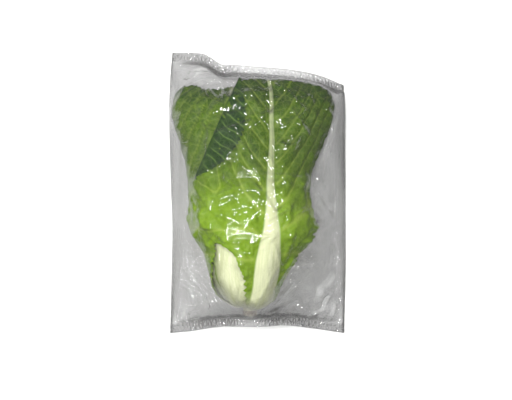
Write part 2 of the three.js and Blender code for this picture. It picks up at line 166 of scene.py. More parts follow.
# The head's skin as tables: a line every 2 mm along y, every 3 degrees round and every 2 mm of arc.
Y_STEP, ANGLE_STEP, ARC_STEP = 2.0, 3.0, 2.0
Y_LINES = np.arange(-160, 156, Y_STEP)
ANGLE_LINES = np.arange(-360, 721, ANGLE_STEP)


def skin_tables():
    y, angle = np.meshgrid(Y_LINES, ANGLE_LINES, indexing="ij")
    turn = np.radians(angle)
    x = half_width(y) * np.cos(turn)
    z = half_height(y) * np.sin(turn)
    steps = np.hypot(np.diff(x, axis=1), np.diff(z, axis=1))
    arc = np.concatenate([np.zeros((len(Y_LINES), 1)), np.cumsum(steps, axis=1)], axis=1)
    zero = int(360 / ANGLE_STEP)
    arc = arc - arc[:, zero:zero + 1]
    arcs = np.arange(-420, 840, ARC_STEP)
    angle_of = np.stack([np.interp(arcs, line, ANGLE_LINES) for line in arc])
    return arc, angle_of, arc[:, 2 * zero]


ARC, ANGLE, WHOLE = skin_tables()


def arc_at(y, angle):
    return sample(ARC, (y - Y_LINES[0]) / Y_STEP, (angle + 360) / ANGLE_STEP)


def angle_at(y, arc):
    return sample(ANGLE, (y - Y_LINES[0]) / Y_STEP, (arc + 420) / ARC_STEP)


# ---------------------------------------------------------------- the leaves' outlines
GOLDEN_ANGLE, FIRST_LEAF_ANGLE = 137.508, 61.0
TIPS = [147, 141, 132, 136, 141, 132, 118, 132, 118, 118, 100, 118, 100, 78, 78, 52, 52, 24]
BLADE = 0.9
RIB_DIP = 2.0
LEAF_GAP = 0.7
CREASE_LOW = np.array([-80.0, 17.0])
CREASE_HIGH = np.array([-23.4, 149.0])
rib_share = curve([(0, 0.4), (0.06, 0.72), (0.14, 0.95), (0.24, 1), (0.34, 0.84), (0.44, 0.55), (0.56, 0.28),
                   (0.7, 0.14), (0.85, 0.09), (1, 0.05)])
blade_share = curve([(0, 0.1), (0.1, 0.27), (0.22, 0.36), (0.32, 0.5), (0.44, 0.7), (0.56, 0.8), (0.7, 0.9),
                     (0.84, 1), (0.93, 0.9), (1, 0.5)])
first_rib = curve([(-151, 12), (-140, 18), (-114, 17), (-88, 15), (-62, 11.5), (-36, 8), (-10, 5.2),
                   (16, 3.6), (42, 2.5), (68, 1.8), (94, 1.3), (120, 1.0), (150, 0.8)])
first_left = curve([(-151, 13), (-144, 21), (-114, 29), (-95, 35), (-79, 42), (-68, 54), (-58, 73), (-45, 86),
                    (-16, 92), (16, 103)])
first_right = curve([(-151, 13), (-139, 25), (-100, 29), (-87, 34), (-72, 42), (-53, 55), (-27, 62), (0, 66),
                     (38, 70), (71, 80), (97, 92), (120, 96), (134, 86), (145, 66)])
second_right = curve([(-151, 10), (-140, 20), (-125, 32), (-98, 45), (-60, 56), (-20, 60), (147, 60)])
drifts = {
    0: curve([(-151, -4), (-105, -4), (-80, 2), (-62, 6.5), (-36, 7), (-10, 6.5), (42, 10), (94, 16),
              (147, 16)]),
    3: curve([(-101, 2), (0, 4), (68, 12), (110, 24)]),
}


class Leaf:
    """One leaf's place in the spiral and its outline. Leaf 0 is the outermost."""

    def __init__(self, index):
        inner = index / (LEAF_COUNT - 1)
        self.index = index
        self.name = f"leaf_{index + 1:02d}"
        self.angle = (FIRST_LEAF_ANGLE + GOLDEN_ANGLE * index) % 360
        self.tip = TIPS[index]
        self.rib_half = {1: 17, 3: 24}.get(index, 31 - 19 * inner)
        self.blade_half = 104 - 66 * inner
        self.root = 7.6 - 4.6 * inner
        self.stack = None

    def middle(self, y):
        drift = drifts.get(self.index)
        return self.angle + (drift(y) if drift else 0 * y)

    def along(self, y):
        return np.clip((y - HEAD_BASE) / (self.tip - HEAD_BASE), 0, 1)

    def rib(self, y):
        return first_rib(y) if self.index == 0 else self.rib_half * rib_share(self.along(y))

    def margin(self, y, side):
        """Half width to the left (side 1) or right (side -1) of the rib's middle."""
        if self.index:
            wide = np.maximum(self.blade_half * blade_share(self.along(y)), self.rib(y) + 1)
            if self.index == 1:
                wide = np.where(side < 0, np.maximum(wide, second_right(y)), wide)
            return wide
        share = (y - CREASE_LOW[1]) / (CREASE_HIGH[1] - CREASE_LOW[1])
        crease_x = blend(CREASE_LOW[0], CREASE_HIGH[0], share)
        reach = np.clip((crease_x - centre_x(y)) / half_width(y), -1, 1)
        folded = arc_at(y, np.degrees(np.arccos(reach))) - arc_at(y, self.middle(y))
        left = np.where(y > CREASE_LOW[1], folded, first_left(y))
        return np.where(side > 0, left, first_right(y))

    def thickness(self, y, across):
        u = self.along(y)
        crown = self.root * (1 - 0.35 * u) * (1 - 0.7 * ease(u, 0.3, 0.8)) - BLADE
        return BLADE + np.maximum(crown, 0.25) * self.dome(y, across)

    def dome(self, y, across):
        return np.clip(1 - (across / self.rib(y)) ** 2, 0, 1) ** 0.75

    def dip(self, y):
        """How far the blade lies below the crest of the rib."""
        return RIB_DIP * (1 - self.index / 30) * (1 - 0.45 * ease(self.along(y), 0.4, 0.9))

    def room(self, y, across):
        return self.dip(y) * (1 - self.dome(y, across)) + self.thickness(y, across)


looseness = curve([(-151, 0.3), (-110, 0.1), (-50, 1.1), (0, 1.3), (70, 0.9), (147, 1)])
COVER_FADE = 15.0


def stack_leaves(leaves):
    """Gives each leaf a table of how deep it lies, under the leaves outside it."""
    y = np.repeat(Y_LINES[:, None], len(ANGLE_LINES), axis=1)
    depth = np.zeros_like(y)
    for leaf in leaves:
        leaf.stack = depth.copy()
        arc = ARC - arc_at(y, leaf.middle(y))
        across = arc - WHOLE[:, None] * np.round(arc / WHOLE[:, None])
        past = np.abs(across) - leaf.margin(y, np.sign(across))
        cover = (1 - ease(past, 2, COVER_FADE)) * (1 - ease(y - leaf.tip, 1, COVER_FADE))
        depth = depth + cover * (leaf.room(y, across) + LEAF_GAP + looseness(y))
        for _ in range(2):
            depth[1:-1] = (depth[:-2] + 2 * depth[1:-1] + depth[2:]) / 4
            depth[:, 1:-1] = (depth[:, :-2] + 2 * depth[:, 1:-1] + depth[:, 2:]) / 4


# ---------------------------------------------------------------- the surface of a leaf
VEIN_SPACING = 27.0
vein_slope = curve([(-110, 0.1), (-80, 0.25), (-45, 0.7), (-10, 1.0), (30, 1.1), (90, 1.1), (140, 1.0)])


def vein_field(leaf, y, across):
    """Distance in millimetres to the nearest side vein, and how far between two veins, from 0 to 1."""
    s = np.abs(across)
    wander = 2.4 * rumple(y, across, 26, 40 + leaf.index) + 1.1 * rumple(y, across, 9, 60 + leaf.index)
    root = y - vein_slope(y - 0.8 * s) * s * (1 + 0.007 * s) + wander
    offset = 7.0 * (across > 0) + 5.0 * leaf.index
    count = (root + offset) / VEIN_SPACING
    between = count - np.floor(count)
    steep = np.hypot(1, vein_slope(y))
    return np.minimum(between, 1 - between) * VEIN_SPACING / steep, between


def leaf_relief(leaf, y, across, edge):
    """How far the leaf's outer face stands out, and its vein mask from 0 to 1."""
    u = leaf.along(y)
    rib = leaf.rib(y)
    off_rib = ease(np.abs(across) - rib, 0, 6)
    distance, between = vein_field(leaf, y, across)
    width = blend(1.9, 0.6, ease(np.abs(across), 5, 80)) * blend(1.15, 0.62, ease(y, -60, 70))
    vein = np.exp(-(distance / width) ** 2) * off_rib * ease(y, -140, -95)
    reach = 1 - ease(edge, 0.86, 1.0)
    seed = 100 + 10 * leaf.index
    quilt = np.abs(rumple(y, across, 11, seed)) + 0.5 * np.abs(rumple(y, across, 5.2, seed + 1))
    pillow = (4 * between * (1 - between)) ** 0.7 * (quilt - 0.45)
    swell = rumple(y, across, 34, seed + 2)
    force = (1.0 if leaf.index < 6 else 0.55) * blend(1, 0.5, ease(y, -50, 50))
    fold = 1 - 2 * np.abs(rumple(y + 0.4 * across, across - 0.3 * y, 19, seed + 7))
    rough = 3.1 * pillow + 1.5 * fold * ease(np.abs(across) - rib, 8, 30)
    vault = 2.8 * (4 * between * (1 - between)) ** 0.6 * ease(np.abs(across) - rib, 2, 14)
    relief = vein * 0.5 * reach + off_rib * (rough + 2.6 * swell * ease(u, 0.15, 0.5)) * force + vault
    # The margin is ruffled: short waves that fade out a finger's width inside it.
    frill = ease(edge, 0.72, 1.0) * off_rib
    wave = rumple(y, 0 * y, 9, seed + 3) + 0.6 * rumple(y, 0 * y, 4.5, seed + 4)
    relief = relief + frill * 3.0 * np.abs(wave) * force * ease(y, -130, -90)
    fibre = 0.16 * rumple(y / 14, across, 2.2, seed + 5) * (1 - off_rib)
    # Long soft folds run with the veins, out from the rib and up.
    lean = y - 1.3 * np.abs(across)
    pull = np.abs(rumple(lean, across, 15, seed + 8)) + 0.5 * rumple(lean, across / 3, 8, seed + 9)
    relief = relief + 2.2 * pull * ease(np.abs(across) - rib, 4, 20) * force
    return relief + fibre, np.clip(vein * blend(1.0, 0.6, ease(y, -40, 60)), 0, 1)


def toothed(place, seed, big=2.6, small=1.2):
    """The margin's teeth: how far it stands out at a place along it, in millimetres."""
    lobes = rumple(place, 0 * place, 17, seed)
    saw = np.abs(((place / 6.3 + 0.6 * lobes) % 1) - 0.5) * 2
    return big * lobes + small * (saw - 0.4) * (1.4 + rumple(place, 0 * place, 12, seed + 1))


def grid_into(bm, columns, rows):
    """Adds a flat grid and returns its vertices with their shares across (-1 to 1) and along (0 to 1)."""
    made = bmesh.ops.create_grid(bm, x_segments=columns, y_segments=rows, size=1)["verts"]
    flat = np.array([v.co[:2] for v in made])
    return made, flat[:, 0], (flat[:, 1] + 1) / 2


def place_verts(verts, points):
    for vert, point in zip(verts, points * MM):
        vert.co = point


def set_layers(bm, verts, colours, weights):
    tone = bm.verts.layers.float_color["tone"]
    chart = bm.verts.layers.float_vector["chart"]
    deform = bm.verts.layers.deform.verify()
    for vert, colour, spot, weight in zip(verts, colours[0], colours[1], weights):
        vert[tone] = colour
        vert[chart] = spot
        vert[deform][0] = weight


RESTING, PRESSED = 0.9, 0.5


def leaf_points(leaf, w, u):
    """Places for shares across and along the leaf, with everything its surface needs to know."""
    side = np.where(w >= 0, 1, -1)
    seed = 300 + 7 * leaf.index
    y0 = blend(HEAD_BASE, leaf.tip, u)
    edge = np.abs(w)
    folded = (leaf.index == 0) & (side > 0) & (y0 > CREASE_LOW[1] - 6)
    start = -148 if leaf.index < 3 else -128
    teeth = toothed(y0 + 40 * side, seed, 2.6, 2.2) * ease(y0, start, start + 24) * np.where(folded, 0, 1)
    across = w * (leaf.margin(y0, side) + teeth * edge ** 8)
    drop = np.where(folded, 2, 16 if leaf.index else 9)
    y = y0 - drop * edge ** 3 * u ** 9 + toothed(across, seed + 3, 1.6, 1.4) * u ** 30
    angle = angle_at(y, arc_at(y, leaf.middle(y)) + across)
    dome = leaf.dome(y, across)
    relief, vein = leaf_relief(leaf, y, across, np.where(folded, edge * 0.7, edge))
    depth = sample(leaf.stack, (y - Y_LINES[0]) / Y_STEP, (angle + 360) / ANGLE_STEP)
    # Under another leaf there is less room to stand out.
    relief = relief * (1 - 0.65 * ease(depth, 0.5, 3))
    depth = depth + leaf.dip(y) * (1 - dome) - relief + 0.5
    points = head_point(y, angle, depth)
    # Where the head rests on the film it is pressed flat.
    points[:, 2] = RESTING + np.logaddexp(0, (points[:, 2] - RESTING) / PRESSED) * PRESSED
    return points, y, across, vein, edge


def tone_of(leaf, y, across, vein, edge):
    """Colour shares: green of the blade, vein, deep green (with painted shade near the leaf tip), and margin.
    """
    u = leaf.along(y)
    rib = leaf.rib(y)
    off = ease(np.abs(across) - rib, -1.0, 2.2 + 7 * (1 - u) * (leaf.index > 0))
    low, high = {0: (-150, -122), 1: (-148, -118)}.get(leaf.index, (-135, -60 + 18 * (leaf.index % 3)))
    green = off * ease(y, low, high)
    green = np.maximum(green, 0.6 * ease(y, -45, 60))  # the white of the rib runs out upwards
    green = np.maximum(green, off * ease(edge, 0.5, 0.85) * ease(y, -149, -125) * 0.95)
    # Darker green up the blade and on the outer leaves is the leaf's own colour; the rise between y 112 and
    # 130 is painted shade, darkening the tip where it curls over.
    deep_green_and_tip_shade = ease(y, -45, 60) * (1 - leaf.index / LEAF_COUNT * 0.5) * (0.8 + 0.5 * ease(y, 112, 130))
    return np.stack([green, vein, deep_green_and_tip_shade, ease(edge, 0.93, 1)], -1)


def leaf_mesh(leaf, columns, rows):
    bm = bmesh.new()
    bm.verts.layers.float_color.new("tone")
    bm.verts.layers.float_vector.new("chart")
    bm.verts.layers.deform.verify()
    verts, w, u = grid_into(bm, columns, rows)
    points, y, across, vein, edge = leaf_points(leaf, w, u)
    place_verts(verts, points)
    tones = tone_of(leaf, y, across, vein, edge)
    charts = np.stack([across, y, 0 * y], -1) * MM
    thin = leaf.thickness(y, across) / leaf.root
    set_layers(bm, verts, (tones, charts), thin)
    turn_out(bm)
    return bm


def turn_out(bm):
    """Turns the faces so that the outer side of the leaf faces away from the head's middle."""
    bm.normal_update()
    total = 0
    for face in list(bm.faces)[::37]:
        middle = face.calc_center_median()
        y = middle.y / MM
        away = Vector((middle.x - float(centre_x(y)) * MM, 0, middle.z - float(centre_z(y)) * MM))
        total += 1 if away.dot(face.normal) > 0 else -1
    if total < 0:
        bmesh.ops.reverse_faces(bm, faces=bm.faces[:])


FLAP_BEND = 1.7
flap_width = curve([(0, 1), (21.5, 21.6), (59, 36.4), (93.7, 33.2), (125, 18), (143, 6)])


def front_height(x, y, depth):
    a = half_width(y) - depth
    reach = np.clip((x - centre_x(y)) / a, -0.999, 0.999)
    return centre_z(y) + (half_height(y) - depth) * np.sqrt(1 - reach * reach)


def flap_into(bm, leaf):
    """The outermost leaf's upper left margin, turned over onto its front along a crease."""
    verts, across, share = grid_into(bm, 60, 150)
    crease = CREASE_HIGH - CREASE_LOW
    length = np.hypot(*crease)
    way = crease / length
    away = np.array([way[1], -way[0]])
    t = share * length
    wide = flap_width(t) + toothed(t, 77, 1.2, 1.5) * ease(np.minimum(t, length - t), 2, 20)
    q = (across + 1) / 2 * (wide + 3) - 3
    bend = np.clip(q, 0, np.pi * FLAP_BEND)
    out = FLAP_BEND * np.sin(bend / FLAP_BEND)
    plan = np.where(q < np.pi * FLAP_BEND, np.where(q < 0, q, -out), q - np.pi * FLAP_BEND)
    plan = np.where(q < 0, -q, plan)
    lift = np.where(q < 0, 0, FLAP_BEND * (1 - np.cos(bend / FLAP_BEND)))
    x = CREASE_LOW[0] + way[0] * t + away[0] * plan
    y = CREASE_LOW[1] + way[1] * t + away[1] * plan
    over = ease(q, 4, 12)
    waves = 0.9 * rumple(t, q, 15, 81) + 1.4 * ease(q / wide, 0.7, 1.0) * np.abs(rumple(t, 0 * t, 9, 82))
    ribs = np.abs(((t + 0.35 * q + 3 * rumple(t, q, 16, 83)) / 12) % 1 - 0.5) * 12
    vein = np.exp(-((6 - ribs) / 0.8) ** 2) * over
    skin = leaf.dip(y) - 1.1
    z = front_height(x, y, skin) + lift + over * (0.8 + waves - 0.7 * vein)
    points = np.stack([x, y, z], -1)
    place_verts(verts, points)
    edge = np.clip(q / wide, 0, 1)
    tones = np.stack([0 * q + 1, vein, 0 * q + 1, ease(edge, 0.93, 1)], -1)
    charts = np.stack([q + 40, t, 0 * q + 9], -1) * MM
    set_layers(bm, verts, (tones, charts), 0 * q + BLADE / leaf.root)
    faces = {face for vert in verts for face in vert.link_faces}
    bm.normal_update()
    upward = [f for f in faces if f.calc_center_median().z > 0.03]
    if sum(f.normal.z for f in upward) < 0:
        bmesh.ops.reverse_faces(bm, faces=list(faces))
    for face in faces:
        face.material_index = 1


# ---------------------------------------------------------------- objects
def finish_piece(name, bm, materials, slot, *nodes):
    for face in bm.faces:
        face.smooth = True
    mesh = bpy.data.meshes.new(name)
    bm.to_mesh(mesh)
    bm.free()
    for material in materials:
        mesh.materials.append(material)
    piece = bpy.data.objects.new(name, mesh)
    bpy.context.scene.collection.objects.link(piece)
    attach(piece, "root")
    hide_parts(*nodes)
    return piece


def thicken(piece, thickness, offset=-1, group="", inner=0):
    solid = piece.modifiers.new("thickness", "SOLIDIFY")
    solid.thickness = thickness
    solid.offset = offset
    solid.use_rim = True
    solid.use_even_offset = False
    if group:
        solid.vertex_group = group
    solid.material_offset = inner
    solid.material_offset_rim = 0


# ---------------------------------------------------------------- materials
def nodes_of(name):
    material = bpy.data.materials.new(name)
    material.use_nodes = True
    tree = material.node_tree
    shader = tree.nodes["Principled BSDF"]
    return material, tree, shader


def add(tree, kind, **values):
    node = tree.nodes.new(kind)
    for key, value in values.items():
        if hasattr(node, key):
            setattr(node, key, value)
        else:
            node.inputs[key.replace("_", " ")].default_value = value
    return node


def mix_colours(tree, share, one, two):
    node = tree.nodes.new("ShaderNodeMix")
    node.data_type = "RGBA"
    for socket, value in ((node.inputs["Factor"], share), (node.inputs[6], one), (node.inputs[7], two)):
        if isinstance(value, bpy.types.NodeSocket):
            tree.links.new(value, socket)
        else:
            socket.default_value = value
    return node.outputs[2]


def reckon(tree, operation, one, two=0.0, clamp=False, three=0.0):
    node = tree.nodes.new("ShaderNodeMath")
    node.operation = operation
    node.use_clamp = clamp
    for socket, value in zip(node.inputs, (one, two, three)):
        if isinstance(value, bpy.types.NodeSocket):
            tree.links.new(value, socket)
        else:
            socket.default_value = value
    return node.outputs[0]


def grade(tree, value, low, high):
    """0 below low, 1 above high, straight between."""
    node = tree.nodes.new("ShaderNodeMapRange")
    tree.links.new(value, node.inputs["Value"])
    node.inputs["From Min"].default_value = low
    node.inputs["From Max"].default_value = high
    return node.outputs["Result"]


def new_group(name, inputs, outputs):
    group = bpy.data.node_groups.new(name, "ShaderNodeTree")
    for label, kind in inputs:
        group.interface.new_socket(label, in_out="INPUT", socket_type=kind)
    for label, kind in outputs:
        group.interface.new_socket(label, in_out="OUTPUT", socket_type=kind)
    return group, group.nodes.new("NodeGroupInput"), group.nodes.new("NodeGroupOutput")


def leaf_tissue_group():
    """Fine netted veins, puckering and mottling for any leaf's blade."""
    group, given, result = new_group(
        "leaf tissue", [("Chart", "NodeSocketVector"), ("Net Size", "NodeSocketFloat")],
        [("Net", "NodeSocketFloat"), ("Height", "NodeSocketFloat"), ("Mottle", "NodeSocketFloat")])
    link = group.links.new
    warp = add(group, "ShaderNodeTexNoise", Scale=90.0, Detail=2.0)
    link(given.outputs["Chart"], warp.inputs["Vector"])
    bend = add(group, "ShaderNodeVectorMath", operation="MULTIPLY_ADD")
    link(warp.outputs["Color"], bend.inputs[0])
    bend.inputs[1].default_value = (0.0035, 0.0035, 0)
    link(given.outputs["Chart"], bend.inputs[2])
    nets = []
    for share, width in ((1.0, 0.10), (2.7, 0.13)):
        scale = reckon(group, "MULTIPLY", given.outputs["Net Size"], share)
        cells = add(group, "ShaderNodeTexVoronoi", feature="DISTANCE_TO_EDGE")
        link(bend.outputs[0], cells.inputs["Vector"])
        link(scale, cells.inputs["Scale"])
        nets.append((cells.outputs["Distance"], grade(group, cells.outputs["Distance"], width, 0.0)))
    net = reckon(group, "MAXIMUM", nets[0][1], reckon(group, "MULTIPLY", nets[1][1], 0.55))
    link(net, result.inputs["Net"])
    pillow = reckon(group, "MULTIPLY", reckon(group, "MINIMUM", nets[0][0], 0.35), 1.4)
    small = reckon(group, "MULTIPLY", reckon(group, "MINIMUM", nets[1][0], 0.35), 0.5)
    link(reckon(group, "ADD", pillow, small), result.inputs["Height"])
    mottle = add(group, "ShaderNodeTexNoise", Scale=60.0, Detail=4.0, Roughness=0.6)
    link(given.outputs["Chart"], mottle.inputs["Vector"])
    link(grade(group, mottle.outputs["Fac"], 0.3, 0.7), result.inputs["Mottle"])
    return group


def rib_fibre_group():
    """Long fibres and faint bruised streaks that run along a white rib."""
    group, given, result = new_group(
        "rib fibres", [("Chart", "NodeSocketVector")],
        [("Fibre", "NodeSocketFloat"), ("Streak", "NodeSocketFloat")])
    link = group.links.new
    for label, squeeze, scale in (("Fibre", (1, 0.05, 1), 620.0), ("Streak", (1, 0.12, 1), 120.0)):
        shrink = add(group, "ShaderNodeVectorMath", operation="MULTIPLY")
        link(given.outputs["Chart"], shrink.inputs[0])
        shrink.inputs[1].default_value = squeeze
        noise = add(group, "ShaderNodeTexNoise", Scale=scale, Detail=3.0)
        link(shrink.outputs[0], noise.inputs["Vector"])
        link(grade(group, noise.outputs["Fac"], 0.3, 0.7), result.inputs[label])
    return group


def leaf_material(name, tissue, fibres, light, deep_green_and_tip_shade, rib, vein, gloss, net_size=110.0):
    material, tree, shader = nodes_of(name)
    link = tree.links.new
    chart = add(tree, "ShaderNodeAttribute", attribute_name="chart")
    tone = add(tree, "ShaderNodeAttribute", attribute_name="tone")
    parts = tree.nodes.new("ShaderNodeSeparateColor")
    link(tone.outputs["Color"], parts.inputs[0])
    net = tree.nodes.new("ShaderNodeGroup")
    net.node_tree = tissue
    link(chart.outputs["Vector"], net.inputs["Chart"])
    net.inputs["Net Size"].default_value = net_size
    streaks = tree.nodes.new("ShaderNodeGroup")
    streaks.node_tree = fibres
    link(chart.outputs["Vector"], streaks.inputs["Chart"])
    # How much deep green the blade takes, with random mottle; near the leaf tip this includes painted shade.
    deep_green_and_tip_shade_share = reckon(tree, "ADD", parts.outputs["Blue"],
                   reckon(tree, "MULTIPLY", reckon(tree, "SUBTRACT", net.outputs["Mottle"], 0.5), 0.35), True)
    blade = mix_colours(tree, deep_green_and_tip_shade_share, light, deep_green_and_tip_shade)
    blade = mix_colours(tree, reckon(tree, "MULTIPLY", net.outputs["Net"], 0.16), blade, vein)
    blade = mix_colours(tree, reckon(tree, "MULTIPLY", parts.outputs["Green"], 0.48), blade, vein)
    duller = tuple(c * f for c, f in zip(rib[:3], (0.8, 0.82, 0.66))) + (1,)
    white = mix_colours(tree, reckon(tree, "MULTIPLY", streaks.outputs["Streak"], 0.7), rib, duller)
    white = mix_colours(tree, reckon(tree, "MULTIPLY", streaks.outputs["Fibre"], 0.18), white, light)
    patchy = reckon(tree, "MULTIPLY", reckon(tree, "SUBTRACT", net.outputs["Mottle"], 0.5), 0.05)
    green = reckon(tree, "ADD", parts.outputs["Red"],
                   reckon(tree, "MULTIPLY", patchy, parts.outputs["Red"]), True)
    link(mix_colours(tree, green, white, blade), shader.inputs["Base Color"])
    rough = reckon(tree, "MULTIPLY_ADD", net.outputs["Mottle"], 0.18, three=gloss)
    link(rough, shader.inputs["Roughness"])
    height = reckon(tree, "MULTIPLY", net.outputs["Height"], parts.outputs["Red"])
    height = reckon(tree, "ADD", height, reckon(tree, "MULTIPLY", streaks.outputs["Fibre"], 0.12))
    bump = add(tree, "ShaderNodeBump", Strength=0.4, Distance=0.001)
    link(height, bump.inputs["Height"])
    link(bump.outputs["Normal"], shader.inputs["Normal"])
    shader.inputs["Specular IOR Level"].default_value = 0.2
    return material


FILM_ALPHA, SEAL_ALPHA, SLANT_ALPHA = 0.062, 0.03, 0.58


def film_material():
    """Clear glossy film: mostly clear, with a hard reflection, milky where it is crimped."""
    material, tree, shader = nodes_of("clear film")
    link = tree.links.new
    tone = add(tree, "ShaderNodeAttribute", attribute_name="tone")
    parts = tree.nodes.new("ShaderNodeSeparateColor")
    link(tone.outputs["Color"], parts.inputs[0])
    shader.inputs["Base Color"].default_value = (0.05, 0.047, 0.047, 1)
    shader.inputs["Roughness"].default_value = 0.05
    shader.inputs["IOR"].default_value = 2.3
    place = add(tree, "ShaderNodeTexCoord")
    creases = add(tree, "ShaderNodeTexNoise", Scale=26.0, Detail=1.0, Roughness=0.4)
    link(place.outputs["Object"], creases.inputs["Vector"])
    crinkle = add(tree, "ShaderNodeTexVoronoi", feature="DISTANCE_TO_EDGE", Scale=210.0)
    link(place.outputs["Object"], crinkle.inputs["Vector"])
    depth = reckon(tree, "MULTIPLY_ADD", parts.outputs["Red"], 2.2, three=0.2)
    fine = reckon(tree, "MULTIPLY", crinkle.outputs["Distance"], depth)
    broad = reckon(tree, "MULTIPLY", creases.outputs["Fac"], 0.5)
    bump = add(tree, "ShaderNodeBump", Strength=0.42, Distance=0.004)
    link(reckon(tree, "ADD", broad, fine), bump.inputs["Height"])
    link(bump.outputs["Normal"], shader.inputs["Normal"])
    # Seen more edge-on, the film is less clear.
    slant = add(tree, "ShaderNodeLayerWeight", Blend=0.5)
    link(bump.outputs["Normal"], slant.inputs["Normal"])
    flat = reckon(tree, "MULTIPLY_ADD", parts.outputs["Red"], SEAL_ALPHA, three=FILM_ALPHA)
    alpha = reckon(tree, "MULTIPLY_ADD", slant.outputs["Facing"], SLANT_ALPHA, three=flat)
    link(alpha, shader.inputs["Alpha"])
    return material


# ---------------------------------------------------------------- the cut stem
def stem_piece(material, corky):
    bm = bmesh.new()
    bm.verts.layers.float_color.new("tone")
    bm.verts.layers.float_vector.new("chart")
    profile = [(0.0, -158.9), (4, -159.2), (7.6, -159.4), (9, -158.8), (9.5, -157.4), (9.4, -152),
               (8.6, -146), (7.4, -139), (5.6, -132), (3.2, -125), (0, -121)]
    middle = float(centre_x(HEAD_BASE)) * MM
    line = [bm.verts.new((middle, y * MM, (AXIS_HEIGHT + r) * MM)) for r, y in profile]
    edges = [bm.edges.new(pair) for pair in zip(line, line[1:])]
    bmesh.ops.spin(bm, geom=line + edges, cent=(middle, 0, AXIS_HEIGHT * MM),
                   axis=(0, 1, 0), angle=math.tau, steps=72, use_merge=True)
    bmesh.ops.remove_doubles(bm, verts=bm.verts[:], dist=1e-6)
    bmesh.ops.subdivide_edges(bm, edges=bm.edges[:], cuts=1, use_grid_fill=True)
    for vert in bm.verts:
        x, y, z = (c / MM for c in vert.co)
        rough = float(rumple(x, z, 2.6, 11)) * 0.35 + float(rumple(x, z, 7, 12)) * 0.5
        vert.co.y += rough * MM * (1 if y < -157 else 0.3)
    bmesh.ops.recalc_face_normals(bm, faces=bm.faces[:])
    tone = bm.verts.layers.float_color["tone"]
    chart = bm.verts.layers.float_vector["chart"]
    for vert in bm.verts:
        vert[tone] = (0, 0, 0, 0)
        vert[chart] = (vert.co.x, vert.co.z, vert.co.y)
    for face in bm.faces:
        face.material_index = 1 if face.calc_center_median().y < -0.153 else 0
    return finish_piece("cut_stem", bm, [material, corky], "stem", "stem")


def cut_face_material():
    """The knife cut: browned and drying, in noisy patches from dark brown to cream."""
    material, tree, shader = nodes_of("dried stem cut")
    link = tree.links.new
    chart = add(tree, "ShaderNodeAttribute", attribute_name="chart")
    noise = add(tree, "ShaderNodeTexNoise", Scale=260.0, Detail=5.0)
    link(chart.outputs["Vector"], noise.inputs["Vector"])
    brown = mix_colours(tree, grade(tree, noise.outputs["Fac"], 0.35, 0.65), (0.16, 0.11, 0.06, 1),
                        (0.42, 0.35, 0.22, 1))
    link(brown, shader.inputs["Base Color"])
    shader.inputs["Roughness"].default_value = 0.8
    bump = add(tree, "ShaderNodeBump", Strength=0.6, Distance=0.0008)
    link(noise.outputs["Fac"], bump.inputs["Height"])
    link(bump.outputs["Normal"], shader.inputs["Normal"])
    return material


# ---------------------------------------------------------------- the film bag
bottom_edge = curve([(-119, -190), (-90, -187), (-55, -179), (-28, -175), (10, -175), (42, -177), (80, -184),
                     (119, -190)])
top_edge = curve([(-119, 190), (-75, 187), (-50, 172), (-30, 170), (0, 167), (40, 164), (84, 157),
                  (119, 146)])
bag_left = curve([(-190, -119), (-100, -117), (-50, -116), (0, -117), (110, -119), (150, -119), (190, -116)])
bag_right = curve([(-190, 117), (-100, 119), (0, 118), (60, 117), (110, 117), (150, 116)])
side_height = curve([(-190, 1.5), (-120, 2.5), (-40, 6), (20, 13), (80, 18), (115, 17), (145, 7), (190, 1.5)])
bottom_seal = curve([(-119, 0.8), (-85, 4), (-50, 24), (-28, 40), (-10, 44), (10, 40), (32, 24), (75, 4),
                     (119, 0.8)])
top_seal = curve([(-119, 0.8), (-90, 3), (-60, 12), (-20, 22), (30, 23), (80, 16), (105, 5), (119, 0.8)])
SEAL_WIDTH = 11.0
FILM_WALL = 0.12
FILM_CLEAR = 0.9
VENT_PLACE = (2.0, 11.0)
VENT_RADIUS = 2.4
TOP_COLUMNS, UNDER_COLUMNS, FILM_ROWS = 132, 44, 214


def obstacle_heights(trees, xs, ys):
    """Height of what is in the bag under each place, by a ray from above."""
    heights = np.zeros(xs.shape)
    for place in np.ndindex(xs.shape):
        start = Vector((xs[place] * MM, ys[place] * MM, 0.2))
        best = 0.0
        for tree in trees:
            hit = tree.ray_cast(start, Vector((0, 0, -1)), 0.2)[0]
            if hit is not None:
                best = max(best, hit.z)
        heights[place] = best / MM
    return heights


def crease(xs, ys, line, height, spread):
    """A sharp raised fold along a line of (x, y) points, with flat slopes on both sides."""
    best = np.zeros(xs.shape)
    for (x0, y0), (x1, y1) in zip(line, line[1:]):
        dx, dy = x1 - x0, y1 - y0
        t = np.clip(((xs - x0) * dx + (ys - y0) * dy) / (dx * dx + dy * dy), 0, 1)
        away = np.hypot(xs - x0 - t * dx, ys - y0 - t * dy)
        best = np.maximum(best, height * np.clip(1 - away / spread, 0, 1))
    return best


def facets(xs, ys, size, seed, stretch=(1.0, 1.0)):
    """Random flat facets like crumpled film: heights on scattered points, straight between them."""
    rng = np.random.default_rng(seed)
    table = rng.uniform(0, 1, (83, 79))
    p = xs * stretch[0] / size + 0.35 * ys / size + 300
    q = ys * stretch[1] / size - 0.25 * xs / size + 300
    p = p + 0.35 * rumple(xs, ys, size * 1.6, seed + 1)
    q = q + 0.35 * rumple(xs, ys, size * 1.3, seed + 2)
    i = np.floor(p).astype(int)
    j = np.floor(q).astype(int)
    f, g = p - i, q - j
    corner = lambda di, dj: table[(i + di) % 83, (j + dj) % 79]
    low = corner(0, 0) + f * (corner(1, 0) - corner(0, 0)) + g * (corner(1, 1) - corner(1, 0))
    high = corner(0, 0) + g * (corner(0, 1) - corner(0, 0)) + f * (corner(1, 1) - corner(0, 1))
    return np.where(f > g, low, high)


